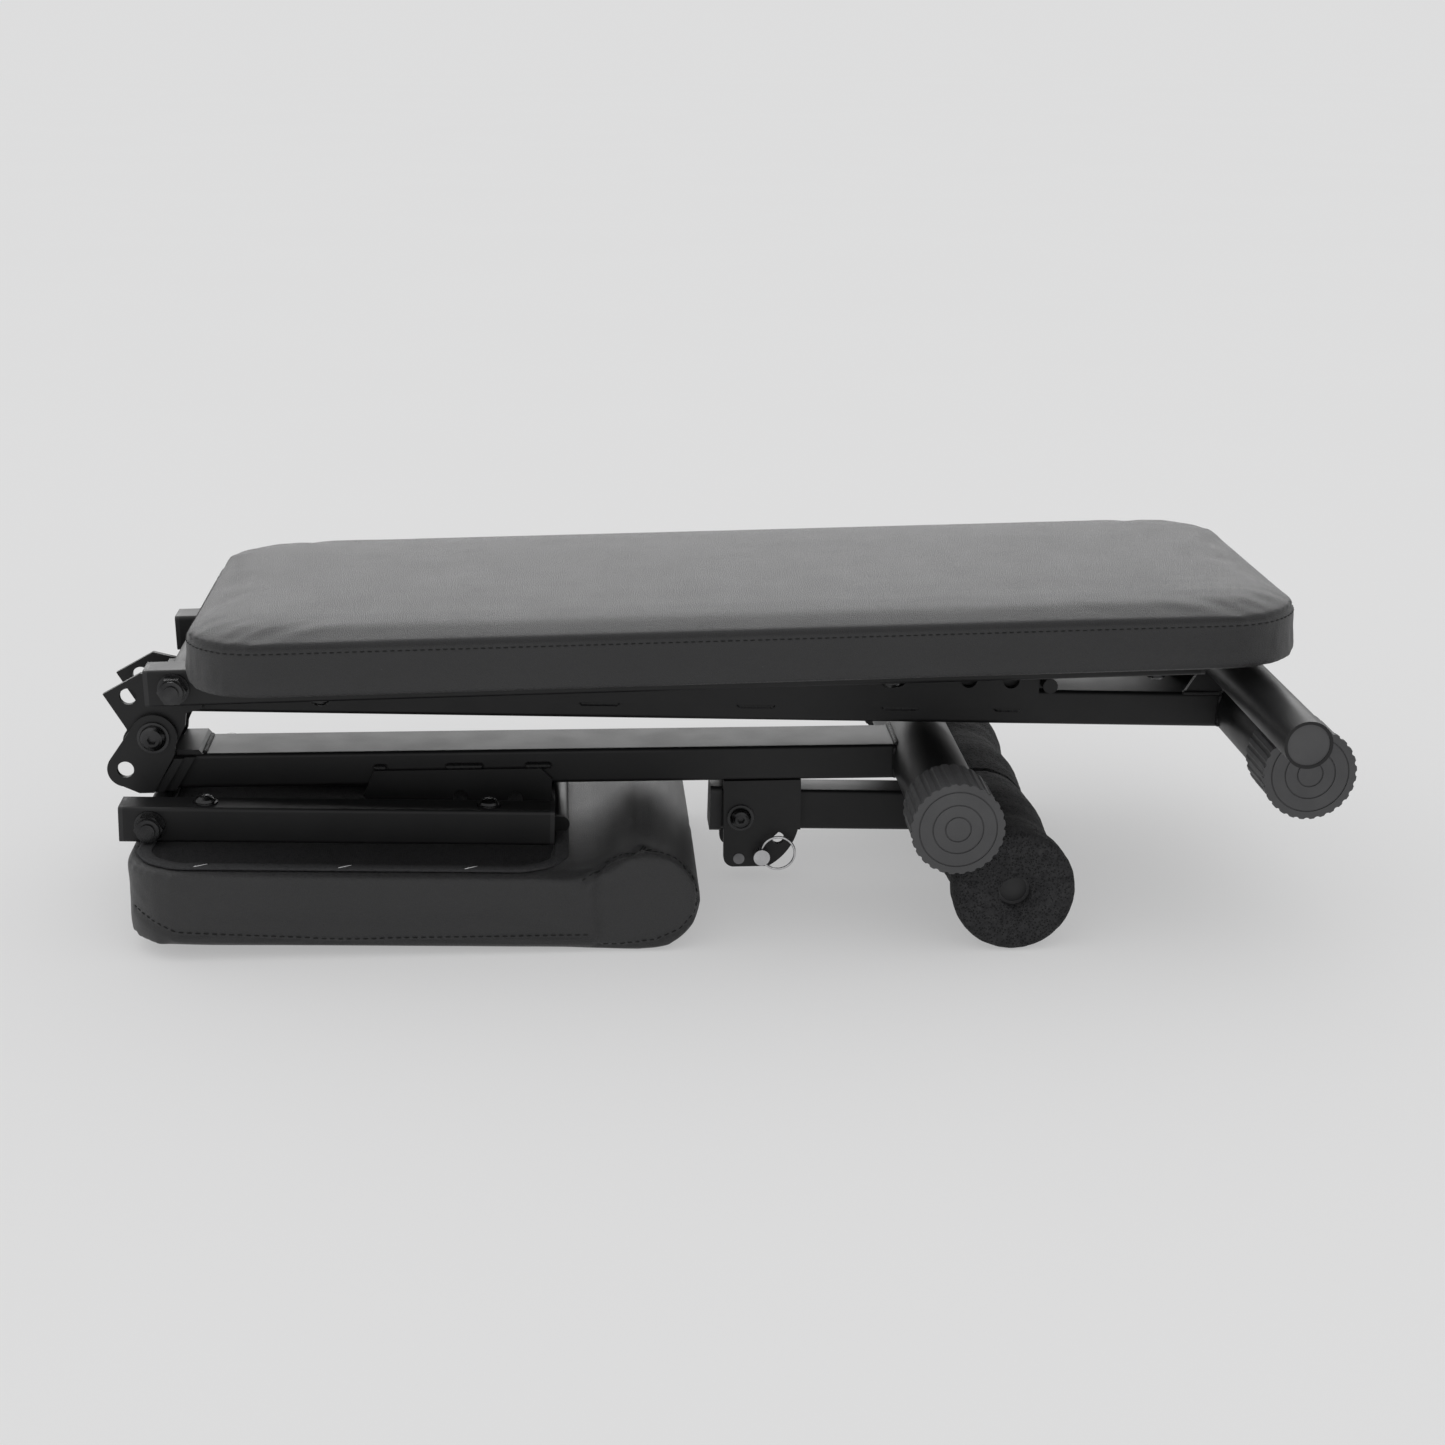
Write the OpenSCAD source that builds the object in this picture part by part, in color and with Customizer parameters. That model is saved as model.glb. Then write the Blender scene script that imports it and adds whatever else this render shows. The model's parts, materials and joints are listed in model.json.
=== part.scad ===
// Adjustable weight bench, folded flat: rear leg above front leg, backrest on top, seat tucked underneath.
// Millimetres. +X runs from the fold hinge to the rear foot, +Y is the left side, +Z is up.

/* [Frame tubes] */
// Width of the two leg tubes across the bench
leg_w = 50; // [40:1:60]
// Height of the two leg tubes
leg_h = 25; // [20:1:30]
// Wall of the leg tubes
leg_wall = 2; // [1.5:0.1:3]
// Side of the square pad rails
rail = 25; // [20:1:30]
// Outer half spacing of the backrest rails
back_half = 83.4; // [80:0.1:90]
// Outer half spacing of the seat rails
seat_half = 81.3; // [78:0.1:88]

/* [Feet] */
// Outer radius of the two foot tubes
foot_r = 24.5; // [20:0.5:26]
// Outer radius of the foot caps over their ribs
cap_r = 31.2; // [30:0.1:34]
// Half length over the foot caps
foot_half = 168; // [150:1:190]
// Radius of the rest bar above the rear foot
bar_r = 15.5; // [14:0.5:18]
// Half length of the rest bar
bar_half = 236; // [200:1:245]

/* [Pads] */
// Length of the backrest pad
back_len = 731; // [700:1:760]
// Half width of the backrest pad
back_w = 147; // [140:1:155]
// Thickness of the backrest pad with its board
back_t = 43; // [35:1:50]
// Half width of the seat pad
seat_w = 142; // [135:1:150]
// Thickness of the flat part of the seat pad with its board
seat_t = 53.2; // [45:0.1:60]

/* [Foam rollers] */
// Largest radius of a foam roller
foam_r = 41.4; // [36:0.2:44]
// Half length over both foam rollers
foam_half = 153; // [140:1:160]

/* [Hidden] */
$fn = 64;
// Middle of the whole bench along X, taken off so that the origin is at the middle of the base
x_mid = 378.9;
e = 0.01;

// Fold hinge, backrest hinge, seat hinge and roller hinge, before the shift
FX = -4.8;  FZ = 123.2;
BX = 19.6;  BZ = 172.5;
SX = -2.6;  SZ = 75.8;
RX = 401.3; RZ = 53.4;
// Slopes of the rear leg, front leg, backrest rails, seat rails and roller post, in degrees (down to +X is positive)
a_rear = 1.89;  a_front = 0.25; a_back = -0.865; a_seat = 1.764; a_post = 1.8;
// Foot and bar centres
RFX = 764.5; RFZ = 126.5;
FFX = 533.4; FFZ = 93.0;
BBX = 740.0; BBZ = 168.7;
OX = 575.8; OZ = 41.5;
// Strut joints
P2X = 259.6; P2Z = 176.1; R2X = 618.2; R2Z = 149.4;
P1X = 136.0; P1Z = 68.8;  R1X = 274.6; R1Z = 61.8;

function dist(x1, z1, x2, z2) = sqrt(pow(x2 - x1, 2) + pow(z2 - z1, 2));

// Local frames: x along the member, z across it, origin on the member's centre line
module shifted() { translate([-x_mid, 0, 0]) children(); }
module rear_frame() { shifted() translate([0, 0, 151.5]) rotate([0, a_rear, 0]) children(); }
module front_frame() { shifted() translate([0, 0, 95.2]) rotate([0, a_front, 0]) children(); }
module back_frame() { shifted() translate([0, 0, 172.2]) rotate([0, a_back, 0]) children(); }
module seat_frame() { shifted() translate([-22, 0, 76.7]) rotate([0, a_seat, 0]) children(); }
module at(x, z) { shifted() translate([x, 0, z]) children(); }

// Cylinder along Y from y0 to y1
module ycyl(r, y0, y1, fn = 64) { translate([0, y0, 0]) rotate([-90, 0, 0]) cylinder(r = r, h = y1 - y0, $fn = fn); }
// Plate with its outline in the X-Z plane, from y0 to y1
module yplate(y0, y1) { translate([0, y1, 0]) rotate([90, 0, 0]) linear_extrude(height = y1 - y0) children(); }
// Same shape on both sides of the bench
module both() { children(); mirror([0, 1, 0]) children(); }

// Outline of a tube: rectangle with rounded corners, in local Y-Z
module rrect(w, h, r) {
    union() {
        square([w - 2 * r, h], center = true);
        square([w, h - 2 * r], center = true);
        for (i = [-1, 1], j = [-1, 1]) translate([i * (w / 2 - r), j * (h / 2 - r)]) circle(r = r, $fn = 32);
    }
}
// Rectangular tube along local X from x0 to x1
module rtube(w, h, t, x0, x1, r = 3) {
    translate([x0, 0, 0]) rotate([90, 0, 90]) linear_extrude(height = x1 - x0)
        difference() { rrect(w, h, r); rrect(w - 2 * t, h - 2 * t, max(r - t, 0.6)); }
}
module rbar(w, h, x0, x1, r = 3) {
    translate([x0, 0, 0]) rotate([90, 0, 90]) linear_extrude(height = x1 - x0) rrect(w, h, r);
}

// Hex nylock nut with washer, outer face towards -Y, seated at y = y0
module nut_washer(y0, af = 17, th = 10, wr = 10.5, bolt = 5, tip = 3) {
    difference() {
        union() {
            ycyl(wr, y0 - 1.8, y0);
            translate([0, y0 - 1.8, 0]) rotate([90, 0, 0]) cylinder(r = af / 2 / cos(30), h = th - 2.5, $fn = 6);
            ycyl(af / 2 - 0.6, y0 - 1.8 - th, y0 - 1.8 - th + 3);
        }
        ycyl(bolt, y0 - 20, y0 + 1);
    }
}
// Button head with hex socket and washer, facing -Y, seated at y = y0
module button_head(y0, r = 9, h = 5, wr = 11) {
    ycyl(wr, y0 - 1.6, y0);
    difference() {
        translate([0, y0 - 1.6, 0]) rotate([90, 0, 0]) rotate_extrude($fn = 64)
            polygon([[0, 0], [r, 0], [r, h * 0.25], [r * 0.93, h * 0.55], [r * 0.75, h * 0.85], [r * 0.55, h], [0, h]]);
        translate([0, y0 - 1.6 - h - 1, 0]) rotate([-90, 0, 0]) cylinder(r = r * 0.38, h = 4.2, $fn = 6);
    }
}

// ---------------------------------------------------------------- rear leg
module rear_leg_tube() {
    color("#2b2c2e") difference() {
        rear_frame() rtube(leg_w, leg_h, leg_wall, 0, RFX - 8);
        // coped end against the foot tube
        at(RFX, RFZ) ycyl(foot_r, -40, 40);
        at(RFX, RFZ) translate([0, -40, -30]) cube([40, 80, 60]);
    }
}
module rear_plate_outline() {
    // outline relative to the fold hinge
    difference() {
        union() {
            circle(r = 16);
            polygon([[-33.1, 30.2], [-6.7, 44.7], [34, 34], [34, 19], [22.5, 15.5], [21.2, 6.2], [13, -9.3], [-14, -7.6], [-18.9, 5.6]]);
        }
        circle(r = 5.06);
        translate([-16.1, 28.3]) circle(r = 5.75);
    }
}
module rear_hinge_plates() {
    color("#2b2c2e") at(FX, FZ) both() yplate(leg_w / 2, leg_w / 2 + 4) rear_plate_outline();
}
module backrest_pivot_sleeve() {
    color("#2b2c2e") at(BX, BZ) difference() { ycyl(8.6, -56.5, 56.5); ycyl(5.05, -58, 58); }
}
module backrest_rack_plates() {
    // saw-toothed ladder plates on both sides of the rear leg tube, notches at the strut's stops
    stops = [572, 542, 492, 430, 365, 290];
    color("#2b2c2e") both() difference() {
        rear_frame() yplate(leg_w / 2, leg_w / 2 + 4)
            polygon([[92, 0], [598, 0], [611, 8], [611, leg_h / 2 + 12], [606, leg_h / 2 + 14], [112, leg_h / 2 + 14], [92, leg_h / 2 - 2]]);
        for (s = stops) at(BX + s * cos(a_rear), BZ - s * sin(a_rear)) translate([0, 0, -1]) {
            ycyl(5.8, 20, 32);
            translate([-5.8, 20, 0]) cube([11.6, 12, 30]);
        }
        // last, hooked notch: the rod enters from the upper right
        at(233.4, 167.3) {
            ycyl(5.8, 20, 32);
            rotate([0, -25.5, 0]) translate([0, 20, -5.8]) cube([70, 12, 40]);
        }
    }
}
module rear_foot_tube() {
    color("#2b2c2e") at(RFX, RFZ) difference() { ycyl(foot_r, -foot_half + 6, foot_half - 6); ycyl(foot_r - 2, -foot_half, foot_half); }
}
// Ribbed end cap: sleeve over the tube, disc at the end, ribs along Y, ring grooves on the face
module foot_cap() {
    n = 28;
    color("#3c3d3f") difference() {
        union() {
            translate([0, -foot_half + 46, 0]) rotate([90, 0, 0]) linear_extrude(height = 43) difference() {
                circle(r = cap_r - 1.2, $fn = 84);
                for (i = [0 : n - 1]) rotate(i * 360 / n) translate([cap_r + 0.4, 0]) circle(r = 2.4, $fn = 16);
            }
            translate([0, -foot_half + 3, 0]) rotate([90, 0, 0]) linear_extrude(height = 3) difference() {
                circle(r = cap_r, $fn = 84);
                for (i = [0 : n - 1]) rotate(i * 360 / n) translate([cap_r + 1.6, 0]) circle(r = 2.6, $fn = 16);
            }
        }
        ycyl(foot_r + 0.02, -foot_half + 5, -foot_half + 60);
        for (g = [25.6, 16.6, 8.4]) difference() { ycyl(g + 0.5, -foot_half - 1, -foot_half + 0.7); ycyl(g - 0.5, -foot_half - 2, -foot_half + 2); }
    }
}
module rear_foot_cap_right() { at(RFX, RFZ) foot_cap(); }
module rear_foot_cap_left() { at(RFX, RFZ) mirror([0, 1, 0]) foot_cap(); }
module rest_bar() {
    color("#2b2c2e") at(BBX, BBZ) difference() { ycyl(bar_r, -bar_half, bar_half); ycyl(bar_r - 2, -bar_half - 1, bar_half + 1); }
}
module rest_bar_bracket() {
    // two plates from the leg tube's top up to the bar
    color("#2b2c2e") difference() {
        rear_frame() both() yplate(leg_w / 2 - 4, leg_w / 2) polygon([[716, leg_h / 2], [742, leg_h / 2], [751, 33], [728, 33]]);
        at(BBX, BBZ) ycyl(bar_r, -40, 40);
    }
}
module rest_bar_plugs() {
    color("#4a4b4d") at(BBX, BBZ) both() ycyl(bar_r - 2, bar_half - 18, bar_half - 0.6);
}
module fold_pivot_bolt() {
    color("#1e1f20") at(FX, FZ) { button_head(-leg_w / 2 - 8.7); ycyl(5, -leg_w / 2 - 10, leg_w / 2 + 20); }
}
module fold_pivot_nut() { color("#1e1f20") at(FX, FZ) mirror([0, 1, 0]) nut_washer(-leg_w / 2 - 8.7); }
module fold_pivot_spacer() {
    color("#2b2c2e") at(FX, FZ) difference() { ycyl(8, -leg_w / 2, leg_w / 2); ycyl(5.05, -leg_w, leg_w); }
}

module rear_leg_end_plug() {
    // plug in the leg tube's hinge end
    color("#1f2021") rear_frame() rbar(leg_w - 2 * leg_wall - 0.1, leg_h - 2 * leg_wall - 0.1, 0.4, 10, 1);
}

// ---------------------------------------------------------------- front leg
module front_leg_tube() {
    color("#2b2c2e") difference() {
        front_frame() rtube(leg_w, leg_h, leg_wall, -18, FFX - 8);
        at(FFX, FFZ) ycyl(foot_r, -40, 40);
        at(FFX, FFZ) translate([0, -40, -30]) cube([40, 80, 60]);
        // slanted left end
        front_frame() translate([-17, -40, -12.5]) rotate([0, -49, 0]) translate([-60, 0, -20]) cube([60, 80, 80]);
    }
}
// Outer plate of the front hinge, relative to the fold hinge, left of the joggle line
module front_plate_outline() {
    difference() {
        union() {
            circle(r = 16);
            translate([-20.5, -22.9]) circle(r = 12.5);
            polygon([[-11.6, 11], [-30.6, -15.6], [-28.6, -32.5], [-12, -40.3], [-2, -40.3], [13.5, -13], [14.5, -6], [10, 0]]);
        }
        circle(r = 5.06);
        translate([-20.5, -22.9]) circle(r = 5.75);
    }
}
module front_hinge_plates() {
    color("#2b2c2e") union() {
        at(FX, FZ) both() yplate(leg_w / 2 + 4.5, leg_w / 2 + 8.5) front_plate_outline();
        // joggle down to the tube's side
        at(FX, FZ) both() yplate(leg_w / 2, leg_w / 2 + 6.5) polygon([[13.2, -16.4], [19.2, -16.4], [4.6, -40.3], [-2.4, -40.3]]);
        at(FX, FZ) both() yplate(leg_w / 2, leg_w / 2 + 4) polygon([[18.6, -16.4], [27, -16.4], [12.4, -40.3], [4, -40.3]]);
        // saddle over the tube's top
        front_frame() yplate(-leg_w / 2, leg_w / 2) polygon([[9, leg_h / 2], [27, leg_h / 2], [24, leg_h / 2 + 3.4], [9, leg_h / 2 + 3.4]]);
    }
}
module seat_pivot_sleeve() {
    color("#2b2c2e") at(SX, SZ) difference() { ycyl(6.9, -54.5, 54.5); ycyl(5.05, -56, 56); }
}
module seat_rack_plates() {
    // notched plates below the front leg tube; the strut's rod passes just under them and hooks into the last notch
    stops = [244.9, 206.3];
    color("#2b2c2e") both() difference() {
        at(SX, SZ) yplate(leg_w / 2, leg_w / 2 + 4) rotate(-2.9) union() {
            polygon([[139, 8], [146, 26], [262, 31.5], [270, 24], [270, 5.2], [160, 5.2], [161.5, -6.5], [152, -6.5], [145, 0]]);
        }
        for (s = stops) at(SX, SZ) rotate([0, 2.9, 0]) translate([s, 0, 9]) { ycyl(5, 20, 32); translate([-5, 20, -12]) cube([10, 12, 12]); }
        at(SX, SZ) rotate([0, 2.9, 0]) translate([167.4, 0, 0]) { ycyl(5, 20, 32); translate([0, 20, -5]) cube([5, 12, 10]); }
    }
}
module front_foot_tube() {
    color("#2b2c2e") at(FFX, FFZ) difference() { ycyl(foot_r, -foot_half + 6, foot_half - 6); ycyl(foot_r - 2, -foot_half, foot_half); }
}
module front_foot_cap_right() { at(FFX, FFZ) foot_cap(); }
module front_foot_cap_left() { at(FFX, FFZ) mirror([0, 1, 0]) foot_cap(); }
module roller_plate_outline() {
    difference() {
        intersection() {
            union() {
                translate([-12.1, -21]) square([55, 48.3]);
                translate([-4, -37.2]) square([47, 60]);
                translate([-12.1, -30]) square([30, 30]);
                translate([-4.6, -29.7]) circle(r = 7.5);
            }
            union() { circle(r = 42.2); translate([-12.1, -10]) square([55, 37.3]); translate([-12.1, -38]) square([24, 40]); }
        }
        circle(r = 5.06);
        for (a = [-62, -31]) rotate(a) translate([31.2, 0]) circle(r = a == -62 ? 4.06 : 4.4);
        rotate(-92) translate([31.2, 0]) circle(r = 4.0);
    }
}
module roller_bracket_plates() {
    color("#2b2c2e") at(RX, RZ) both() yplate(leg_w / 2 - 4, leg_w / 2) roller_plate_outline();
}
module roller_pivot_bolt() { color("#1e1f20") at(RX, RZ) { button_head(-leg_w / 2, 7.5, 4.5, 9.5); ycyl(5, -leg_w / 2 - 1, leg_w / 2 + 12); } }
module roller_pivot_nut() { color("#1e1f20") at(RX, RZ) mirror([0, 1, 0]) nut_washer(-leg_w / 2); }
module roller_bracket_rivet() {
    color("#77787a") at(RX, RZ) rotate([0, 92, 0]) translate([31.2, 0, 0]) { ycyl(4.0, -leg_w / 2 - 0.4, leg_w / 2 + 0.4); }
}

// ---------------------------------------------------------------- backrest
back_screws = [114, 500, 683];
module backrest_rail_at(y) {
    difference() {
        back_frame() translate([0, y, 0]) rtube(rail, rail, 1.8, 3, 711, 2.5);
        at(BX, BZ) translate([0, y, 0]) ycyl(5, -20, 20);
        at(P2X, P2Z) translate([0, y, 0]) ycyl(4, y < 0 ? 8 : -20, y < 0 ? 20 : -8);
        back_frame() for (x = back_screws) translate([x, y, -20]) cylinder(r = 3.05, h = 40);
    }
}
module backrest_rail_right() { color("#2b2c2e") backrest_rail_at(-back_half + rail / 2); }
module backrest_rail_left() { color("#2b2c2e") backrest_rail_at(back_half - rail / 2); }
module rail_plug(x0, dir) { rbar(rail, rail, dir > 0 ? x0 : x0 - 3, dir > 0 ? x0 + 3 : x0, 2.5); rbar(rail - 3.6, rail - 3.6, dir > 0 ? x0 : x0 - 14, dir > 0 ? x0 + 14 : x0, 1); }
module backrest_rail_plugs() {
    color("#1f2021") back_frame() both() translate([0, back_half - rail / 2, 0]) {
        rbar(rail, rail, 0, 3, 2.5);
        rbar(rail, rail, 711, 714, 2.5);
        rbar(rail - 3.6, rail - 3.6, 3, 13, 1);
        rbar(rail - 3.6, rail - 3.6, 697, 711, 1);
    }
}
// Rounded slab seen from above
module slab(x0, len, hw, r, z0, t, fn = 64) {
    translate([x0, 0, z0]) union() {
        translate([r, -hw, 0]) cube([len - 2 * r, 2 * hw, t]);
        translate([0, -hw + r, 0]) cube([len, 2 * hw - 2 * r, t]);
        for (i = [r, len - r], j = [-hw + r, hw - r]) translate([i, j, 0]) cylinder(r = r, h = t, $fn = fn);
    }
}
bp0 = 34.5;
module backrest_board() { color("#6e4f30") back_frame() slab(bp0 + 3, back_len - 6, back_w - 3, 52, rail / 2, 12); }
module backrest_pad() {
    // foam block wrapped round the board, slightly crowned
    color("#3a3b3d") back_frame() difference() {
        union() {
            slab(bp0, back_len, back_w, 55, rail / 2, back_t - 8.5);
            slab(bp0 + 9, back_len - 18, back_w - 9, 46, rail / 2, back_t - 2);
        }
        slab(bp0 + 3, back_len - 6, back_w - 3, 52, rail / 2 - 1, 13);
    }
}
// Dome-headed screw through a rail: head on one face, shank into the board; z1 is the head's seat, dir its way out
module pad_screw(z1, dir, len) {
    mirror([0, 0, dir < 0 ? 1 : 0]) translate([0, 0, dir < 0 ? -z1 : z1]) {
        rotate_extrude($fn = 48) polygon([[0, 0], [8.5, 0], [8.5, 1.2], [7, 1.3], [6.4, 3], [4.6, 4.6], [2.4, 5.4], [0, 5.6]]);
        translate([0, 0, -len]) cylinder(r = 3, h = len + 1, $fn = 24);
    }
}
module backrest_screws() {
    color("#1e1f20") back_frame() both() for (x = back_screws) translate([x, back_half - rail / 2, 0]) pad_screw(-rail / 2, -1, rail + 8);
}
module backrest_pivot_bolt() {
    color("#1e1f20") at(BX, BZ) {
        ycyl(5, -back_half - 13.5, back_half + 2);
        ycyl(10.5, back_half, back_half + 1.8);
        translate([0, back_half + 1.8, 0]) rotate([-90, 0, 0]) cylinder(r = 9.6, h = 6.4, $fn = 6);
        both() difference() { ycyl(8.6, 56.8, back_half - rail); ycyl(5, 50, 70); }
    }
}
module backrest_pivot_nut() { color("#1e1f20") at(BX, BZ) nut_washer(-back_half); }
module backrest_strut_axle() {
    color("#1e1f20") at(P2X, P2Z) {
        ycyl(6, -back_half + rail, back_half - rail);
        both() ycyl(4, back_half - rail - 1, back_half - rail + 3);
    }
}
module strut_arm(x1, z1, x2, z2, h, y0, y1, hole) {
    L = dist(x1, z1, x2, z2);
    at(x1, z1) rotate([0, atan2(z1 - z2, x2 - x1), 0]) difference() {
        union() { ycyl(h / 2, y0, y1); translate([0, y0, -h / 2]) cube([L, y1 - y0, h]); translate([L, 0, 0]) ycyl(h / 2, y0, y1); }
        ycyl(hole, y0 - 5, y1 + 5);
    }
}
// Tapered arm between the rack plates, its end saddled on the rod
module back_arm(y0, y1) {
    L = dist(P2X, P2Z, R2X, R2Z);
    at(P2X, P2Z) rotate([0, atan2(P2Z - R2Z, R2X - P2X), 0]) difference() {
        yplate(y0, y1) union() { circle(r = 9); polygon([[0, 9], [L - 3, 4.6], [L - 3, -4.6], [0, -9]]); }
        ycyl(6.05, y0 - 5, y1 + 5);
        translate([L, 0, 0]) ycyl(5.2, y0 - 5, y1 + 5);
    }
}
module backrest_strut_arm_left() { color("#2b2c2e") back_arm(19, 23); }
module backrest_strut_arm_right() { color("#2b2c2e") back_arm(-23, -19); }
module backrest_strut_rod() { color("#2b2c2e") at(R2X, R2Z) ycyl(5.2, -34, 34); }
// ---------------------------------------------------------------- seat
seat_screw_x = [55, 247];
module seat_rail_at(y) {
    difference() {
        seat_frame() translate([0, y, 0]) rtube(rail, rail, 1.8, 1.4, 289, 2.5);
        at(SX, SZ) translate([0, y, 0]) ycyl(5, -20, 20);
        at(P1X, P1Z) translate([0, y, 0]) ycyl(4, y < 0 ? 8 : -20, y < 0 ? 20 : -8);
        seat_frame() for (x = seat_screw_x) translate([x, y, -20]) cylinder(r = 3.05, h = 40);
    }
}
module seat_rail_right() { color("#2b2c2e") seat_rail_at(-seat_half + rail / 2); }
module seat_rail_left() { color("#2b2c2e") seat_rail_at(seat_half - rail / 2); }
module seat_rail_plugs() {
    color("#1f2021") seat_frame() both() translate([0, seat_half - rail / 2, 0]) {
        rbar(rail, rail, -1.6, 1.4, 2.5);
        rbar(rail, rail, 289, 292, 2.5);
        rbar(rail - 3.6, rail - 3.6, 1.4, 12, 1);
        rbar(rail - 3.6, rail - 3.6, 276, 289, 1);
    }
}
sp0 = 6.8;
module seat_board() { color("#6e4f30") seat_frame() slab(sp0 + 3, 296, seat_w - 3, 42, -rail / 2 - 13, 12); }
module seat_backing() { color("#191a1b") seat_frame() slab(sp0 + 3, 296, seat_w - 3, 42, -rail / 2 - 1, 1); }
// Side outline of the seat cushion in the seat frame: flat body with a thick rolled front end
module seat_outline() {
    union() {
        translate([sp0, -rail / 2 - seat_t]) square([340, seat_t]);
        translate([sp0 + 352.5, -rail / 2 - seat_t + 35.5]) circle(r = 35.5, $fn = 72);
        translate([sp0 + 318, -rail / 2 - seat_t]) square([34.5, 68]);
        polygon([[sp0 + 300, -rail / 2 - seat_t], [sp0 + 352.5, -rail / 2 - seat_t], [sp0 + 352.5, -rail / 2 + 17.8], [sp0 + 337, -rail / 2 + 16.2], [sp0 + 322, -rail / 2 + 10.8], [sp0 + 306, -rail / 2]]);
    }
}
module seat_pad() {
    color("#3a3b3d") difference() {
        intersection() {
            seat_frame() yplate(-seat_w, seat_w) seat_outline();
            seat_frame() translate([0, 0, -90]) union() {
                translate([sp0 + 45, -seat_w, 0]) cube([360, 2 * seat_w, 130]);
                translate([sp0, -seat_w + 45, 0]) cube([400, 2 * seat_w - 90, 130]);
                for (j = [-1, 1]) translate([sp0 + 45, j * (seat_w - 45), 0]) cylinder(r = 45, h = 130);
            }
        }
        seat_frame() slab(sp0 + 3, 296, seat_w - 3, 42, -rail / 2 - 13, 14);
    }
}
module seat_screws() {
    color("#1e1f20") seat_frame() both() for (x = seat_screw_x) translate([x, seat_half - rail / 2, 0]) pad_screw(rail / 2, 1, rail + 8);
}
module seat_pivot_bolt() {
    color("#1e1f20") at(SX, SZ) {
        ycyl(5, -seat_half - 13.5, seat_half + 2);
        ycyl(10.5, seat_half, seat_half + 1.8);
        translate([0, seat_half + 1.8, 0]) rotate([-90, 0, 0]) cylinder(r = 9.6, h = 6.4, $fn = 6);
        both() difference() { ycyl(8, 54.8, seat_half - rail); ycyl(5, 50, 70); }
    }
}
module seat_pivot_nut() { color("#1e1f20") at(SX, SZ) nut_washer(-seat_half); }
module seat_strut_pins() {
    color("#1e1f20") at(P1X, P1Z) both() {
        ycyl(4, 49.5, seat_half - rail + 3);
        ycyl(5.2, 48.2, 50.9);
    }
}
module seat_strut_arm_left() { color("#2b2c2e") strut_arm(P1X, P1Z, R1X, R1Z, 11, 51.2, 55.2, 4.05); }
module seat_strut_arm_right() { color("#2b2c2e") strut_arm(P1X, P1Z, R1X, R1Z, 11, -55.2, -51.2, 4.05); }
module seat_strut_rod() { color("#2b2c2e") at(R1X, R1Z) ycyl(4.4, -51.2, 51.2); }

// ---------------------------------------------------------------- roller post
module post_frame() { at(RX, RZ) translate([0, 0, 2.2]) rotate([0, a_post, 0]) children(); }
module roller_post() {
    color("#2b2c2e") difference() {
        post_frame() rtube(28, 29.5, 2, -13, OX - RX - 45.5, 3);
        at(RX, RZ) ycyl(5.06, -20, 20);
    }
}
module roller_post_plug() {
    color("#1f2021") post_frame() { rbar(30, 33, -21, -13, 4); rbar(24, 25.5, -13, -8, 1.5); }
}
module roller_post_tongue() {
    // flat tongue from the post to the foam bar
    bx = (OX - RX) * cos(a_post) - (OZ - RZ - 2.2) * sin(a_post);
    bz = (OX - RX) * sin(a_post) + (OZ - RZ - 2.2) * cos(a_post);
    color("#2b2c2e") post_frame() yplate(-3, 3) difference() {
        union() {
            translate([bx, bz]) circle(r = 15);
            polygon([[112, 12.7], [127, 12.7], [bx + 4, bz + 14.4], [bx - 4, bz - 14.4], [127, -12.7], [112, -12.7]]);
        }
        translate([bx, bz]) circle(r = 11);
    }
}
module roller_bar() { color("#4c4d50") at(OX, OZ) difference() { ycyl(11, -foam_half + 9, foam_half - 9); ycyl(9.2, -foam_half - 1, foam_half + 1); } }
module roller_bar_plugs() { color("#1f2021") at(OX, OZ) both() ycyl(9.2, foam_half - 22, foam_half - 9.4); }
// Contoured foam sleeve: end bulge, valley, inner bulge, waist at the middle; pressed in where the foot cap lies
module foam_half_shape() {
    difference() {
        at(OX, OZ) rotate([90, 0, 0]) rotate_extrude($fn = 72) polygon(concat(
            [[11, 3.4]],
            [for (y = [3.4 : 6.233 : foam_half - 3.4]) [foam_profile(y), y]],
            [[foam_r - 2.2, foam_half - 1.2], [foam_r - 5, foam_half], [11, foam_half]]));
        at(FFX, FFZ) ycyl(cap_r + 0.7, -foot_half - 1, -foot_half + 47);
        at(FFX, FFZ) ycyl(foot_r + 0.7, -foot_half - 1, 1);
    }
}
function foam_profile(y) = foam_r - 5.4 * pow(cos(180 * min(y, 58) / 116), 2) * (y < 58 ? 1 : 0) * (y < 50 ? 1 : pow(cos((y - 50) * 11), 2))
    - (y >= 50 ? 4.8 * pow(sin(180 * min(max((y - 50) / 90, 0), 1)), 2) : 0);
module foam_roller_right() { color("#232425") foam_half_shape(); }
module foam_roller_left() { color("#232425") mirror([0, 1, 0]) foam_half_shape(); }

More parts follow.
